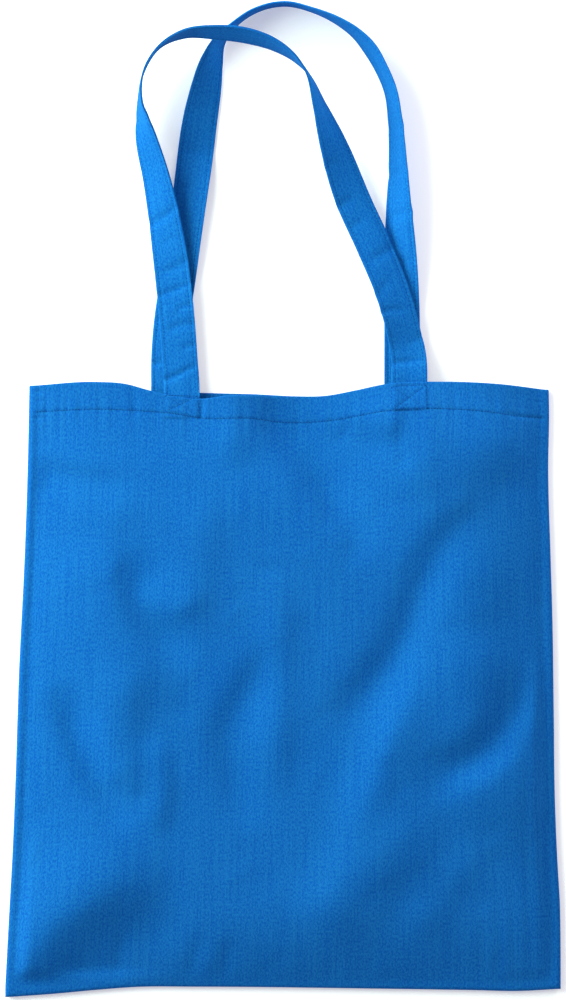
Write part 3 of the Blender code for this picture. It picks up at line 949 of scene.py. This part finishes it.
def back_box_runs():
    """The sewn boxes with crosses that hold the back handle's ends, on the bag's underside."""
    runs = []
    for side in (-1, 1):
        x = LEAN_LEFT + BACK_OFFSET + side * BACK_SPACING / 2
        high = BODY_HEIGHT - BACK_BOX_TOP
        low = high - BACK_BOX_DEPTH
        half = HALF_WIDTH - BACK_BOX_INSET
        corners = ((x - half, high), (x + half, high), (x + half, low), (x - half, low))
        for start, end in box_lines(corners):
            count = round(math.dist(start, end) / STITCH_PITCH)
            share = np.linspace(0.0, 1.0, count + 1)[:, None]
            x_run, y_run = ((1 - share) * np.array(start) + share * np.array(end)).T
            height = np.full(count + 1, BACK_BOX_HOLES)
            holes = np.column_stack([x_run, y_run + BODY_SHIFT, height])
            runs.append((holes, np.tile((0.0, 0.0, -1.0), (count + 1, 1))))
    return runs


def hem_runs():
    """The line sewn through the hem, on the front and on the back."""
    left, right = side_edges(HEM_RUN_HEIGHT)
    count = round((right - left - SIDE_THICKNESS) / STITCH_PITCH)
    across = np.linspace(*HEM_RUN, count + 1)
    y = hem_line(across)
    left, right = side_edges(y / BODY_HEIGHT)
    x = left + SIDE_RADIUS + across * (right - left - SIDE_THICKNESS)
    low = np.stack([x, y + BODY_SHIFT, np.full(x.shape, BACK_HEM_HOLES)], axis=-1)
    return [front_holes(x, y), (low, np.tile((0.0, 0.0, -1.0), (len(x), 1)))]


def thread(name, runs, material):
    """Sewing thread: one small arched stitch from each needle hole to the next."""
    starts = np.concatenate([holes[:-1] for holes, up in runs])
    ends = np.concatenate([holes[1:] for holes, up in runs])
    ups = np.concatenate([up[:-1] + up[1:] for holes, up in runs])
    run = ends - starts
    ahead = run / np.linalg.norm(run, axis=-1, keepdims=True)
    aside = np.cross(ahead, ups)
    aside /= np.linalg.norm(aside, axis=-1, keepdims=True)
    ups = np.cross(aside, ahead)
    rings = [starts + STITCH_TIP * run - ups * THREAD_HEIGHT]
    turns = np.arange(THREAD_SIDES) * 2 * math.pi / THREAD_SIDES
    for share, size in STITCH_RINGS:
        raised = THREAD_HEIGHT * (STITCH_ARCH * size - STITCH_SINK)
        middle = starts + share * run + ups * raised
        for turn in turns:
            sideways = aside * THREAD_WIDTH / 2 * math.cos(turn)
            upwards = ups * THREAD_HEIGHT / 2 * math.sin(turn)
            rings.append(middle + size * (sideways + upwards))
    rings.append(ends - STITCH_TIP * run - ups * THREAD_HEIGHT)
    places = np.stack(rings, axis=1)
    faces = []
    for first in range(0, places[..., 0].size, places.shape[1]):
        faces += [[first + corner for corner in face] for face in stitch_faces()]
    places = places.reshape(-1, 3)
    flat = np.column_stack([places[:, :2], np.zeros(len(places))])
    piece = mesh_object(name, places, faces, flat)
    piece.data.materials.append(material)
    return piece


def stitch_faces():
    """The faces of one stitch: a tip, three rings and the other tip."""
    faces = []
    last = len(STITCH_RINGS) * THREAD_SIDES + 1
    for side in range(THREAD_SIDES):
        after = (side + 1) % THREAD_SIDES
        faces.append([0, 1 + after, 1 + side])
        for ring in (1, 1 + THREAD_SIDES):
            further = ring + THREAD_SIDES
            faces.append([ring + side, ring + after, further + after, further + side])
        faces.append([last - THREAD_SIDES + side, last - THREAD_SIDES + after, last])
    return faces


def node(tree, kind, **settings):
    """A new shader node with its settings."""
    made = tree.nodes.new(kind)
    for key, value in settings.items():
        setattr(made, key, value)
    return made


def stretched_noise(tree, place, scale, detail):
    """Noise with its own scale across and along the cloth."""
    stretch = node(tree, "ShaderNodeVectorMath", operation="MULTIPLY")
    stretch.inputs[1].default_value = scale
    tree.links.new(place, stretch.inputs[0])
    noise = node(tree, "ShaderNodeTexNoise")
    noise.inputs["Scale"].default_value = 1.0
    noise.inputs["Detail"].default_value = detail
    tree.links.new(stretch.outputs[0], noise.inputs["Vector"])
    return noise.outputs["Fac"]


def weighted_sum(tree, parts):
    """The sum of the outputs, each about zero and times its weight."""
    total = None
    for output, weight in parts:
        scaled = node(tree, "ShaderNodeMath", operation="MULTIPLY_ADD")
        scaled.inputs[1].default_value = weight
        scaled.inputs[2].default_value = -weight / 2
        tree.links.new(output, scaled.inputs[0])
        if total is None:
            total = scaled.outputs[0]
            continue
        add = node(tree, "ShaderNodeMath", operation="ADD")
        tree.links.new(total, add.inputs[0])
        tree.links.new(scaled.outputs[0], add.inputs[1])
        total = add.outputs[0]
    return total


def plain_weave(tree, place, unevenness):
    """The threads of a plain weave, each over one and under the next, from 0 to 1."""
    split = node(tree, "ShaderNodeSeparateXYZ")
    tree.links.new(place, split.inputs[0])
    waves = []
    for axis in (0, 1):
        turn = node(tree, "ShaderNodeMath", operation="MULTIPLY_ADD")
        turn.inputs[1].default_value = math.pi / THREAD_PITCH
        tree.links.new(split.outputs[axis], turn.inputs[0])
        tree.links.new(unevenness, turn.inputs[2])
        wave = node(tree, "ShaderNodeMath", operation="SINE")
        tree.links.new(turn.outputs[0], wave.inputs[0])
        waves.append(wave.outputs[0])
    both = node(tree, "ShaderNodeMath", operation="MULTIPLY")
    for number in (0, 1):
        tree.links.new(waves[number], both.inputs[number])
    raised = node(tree, "ShaderNodeMath", operation="MULTIPLY_ADD")
    raised.inputs[1].default_value = 0.5
    raised.inputs[2].default_value = 0.5
    tree.links.new(both.outputs[0], raised.inputs[0])
    return raised.outputs[0]


def cotton(name, dark, light):
    """Plain-woven dyed cotton, matt, with uneven threads."""
    material = bpy.data.materials.new(name)
    material.use_nodes = True
    tree = material.node_tree
    shader = tree.nodes["Principled BSDF"]
    place = node(tree, "ShaderNodeAttribute", attribute_name="weave").outputs["Vector"]
    warp = stretched_noise(tree, place, WARP_SCALE, 1.0)
    weft = stretched_noise(tree, place, WEFT_SCALE, 1.0)
    speck = stretched_noise(tree, place, SPECK_SCALE, 1.0)
    cloud = stretched_noise(tree, place, CLOUD_SCALE, CLOUD_DETAIL)
    threads = plain_weave(tree, place, warp)
    shade = weighted_sum(tree, zip((warp, weft, speck, threads, cloud), SHADE_WEIGHTS))
    ramp = node(tree, "ShaderNodeMapRange")
    ramp.inputs["From Min"].default_value = -0.5
    ramp.inputs["From Max"].default_value = 0.5
    tree.links.new(shade, ramp.inputs["Value"])
    mix = node(tree, "ShaderNodeMix", data_type="RGBA")
    mix.inputs[6].default_value = (*dark, 1.0)
    mix.inputs[7].default_value = (*light, 1.0)
    tree.links.new(ramp.outputs["Result"], mix.inputs["Factor"])
    tree.links.new(mix.outputs[2], shader.inputs["Base Color"])
    height = weighted_sum(tree, zip((warp, weft, speck, threads), BUMP_WEIGHTS))
    bump = node(tree, "ShaderNodeBump")
    bump.inputs["Strength"].default_value = 0.5
    bump.inputs["Distance"].default_value = 0.0004
    tree.links.new(height, bump.inputs["Height"])
    tree.links.new(bump.outputs["Normal"], shader.inputs["Normal"])
    shader.inputs["Roughness"].default_value = 0.92
    shader.inputs["Specular IOR Level"].default_value = 0.04
    shader.inputs["Sheen Weight"].default_value = 0.10
    shader.inputs["Sheen Tint"].default_value = (0.02, 0.30, 0.90, 1.0)
    shader.inputs["Sheen Roughness"].default_value = 0.5
    return material


def area_light(name, place, size, power, colour):
    """A large soft lamp that looks at the middle of the bag."""
    data = bpy.data.lights.new(name, "AREA")
    data.shape = "DISK"
    data.size = size
    data.energy = power
    data.color = colour
    lamp = add_object(name, data)
    lamp.location = place
    x, y, z = place
    lamp.rotation_euler = (math.atan2(math.hypot(x, y), z), 0.0, math.atan2(x, -y))


def studio():
    """A plain pale floor, a large soft lamp at the upper left and pale light all round."""
    world = bpy.data.worlds.new("studio")
    world.use_nodes = True
    sky = world.node_tree.nodes["Background"]
    sky.inputs["Color"].default_value = (1.0, 0.97, 1.03, 1.0)
    sky.inputs["Strength"].default_value = 0.49
    bpy.context.scene.world = world
    area_light("key", *KEY_LAMP)
    area_light("fill", *FILL_LAMP)
    half = 6.0
    mesh = bpy.data.meshes.new("floor")
    corners = [(-half, -half, 0.0), (half, -half, 0.0), (half, half, 0.0), (-half, half, 0.0)]
    mesh.from_pydata(corners, [], [(0, 1, 2, 3)])
    floor = add_object("floor", mesh)
    floor.location.z = -FLOOR_DROP
    paper = bpy.data.materials.new("pale_floor")
    paper.use_nodes = True
    shader = paper.node_tree.nodes["Principled BSDF"]
    shader.inputs["Base Color"].default_value = (0.86, 0.86, 0.86, 1.0)
    shader.inputs["Roughness"].default_value = 0.9
    shader.inputs["Emission Color"].default_value = (1.0, 1.0, 1.0, 1.0)
    shader.inputs["Emission Strength"].default_value = 0.30
    mesh.materials.append(paper)


def camera():
    """Looks straight down, with the handles at the top of the frame."""
    lens = 300.0
    sensor = 36.0
    data = bpy.data.cameras.new("camera")
    data.lens = lens
    data.sensor_width = sensor
    data.sensor_fit = "AUTO"
    data.clip_end = 100.0
    eye = add_object("camera", data)
    eye.location = (0.0, 0.0, PICTURE_HEIGHT * UNIT * lens / sensor)
    bpy.context.scene.camera = eye


def ride(piece):
    """Every piece rides on the one body."""
    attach(piece, "root")


def main():
    bpy.context.scene.view_settings.view_transform = "Standard"
    camera()
    studio()
    blue = cotton("body_blue", *BODY_BLUE)
    # The tapes take lighter copies of the body's cotton: painted light on the handles, the most on the
    # back one.
    tape_lit_blue = cotton("tape_lit_blue", *TAPE_LIT_BLUE)
    lit_pale_blue = cotton("back_tape_lit_blue", *BACK_TAPE_LIT_BLUE)
    # Darker thread: painted shade along the stitched lines.
    thread_shade_blue = cotton("thread_shade_blue", *THREAD_SHADE_BLUE)
    body = bag_body(blue)
    ride(body)
    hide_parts("bag_body")
    front_way = (FRONT_ROUTE, FRONT_SPACING, FRONT_OFFSET, FRONT_RISE)
    back_way = (BACK_ROUTE, BACK_SPACING, BACK_OFFSET, BACK_RISE)
    handles = (
        ("front", front_way, FRONT_HANDLE_CREASES, tape_lit_blue),
        ("back", back_way, BACK_HANDLE_CREASES, lit_pale_blue),
    )
    for name, way, creases, cloth in handles:
        front = name == "front"
        stations = route_points(front, *way)
        tape = (front, stations, creases)
        piece = handle(f"{name}_tape", tape, cloth)
        ride(piece)
        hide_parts(f"{name}_handle")
        ride(thread(f"{name}_tape_thread", tape_seams(tape), thread_shade_blue))
    ride(thread("hem_thread", hem_runs(), thread_shade_blue))
    ride(thread("box_thread", box_runs() + back_box_runs(), thread_shade_blue))


RELIEF = relief_raster()
main()
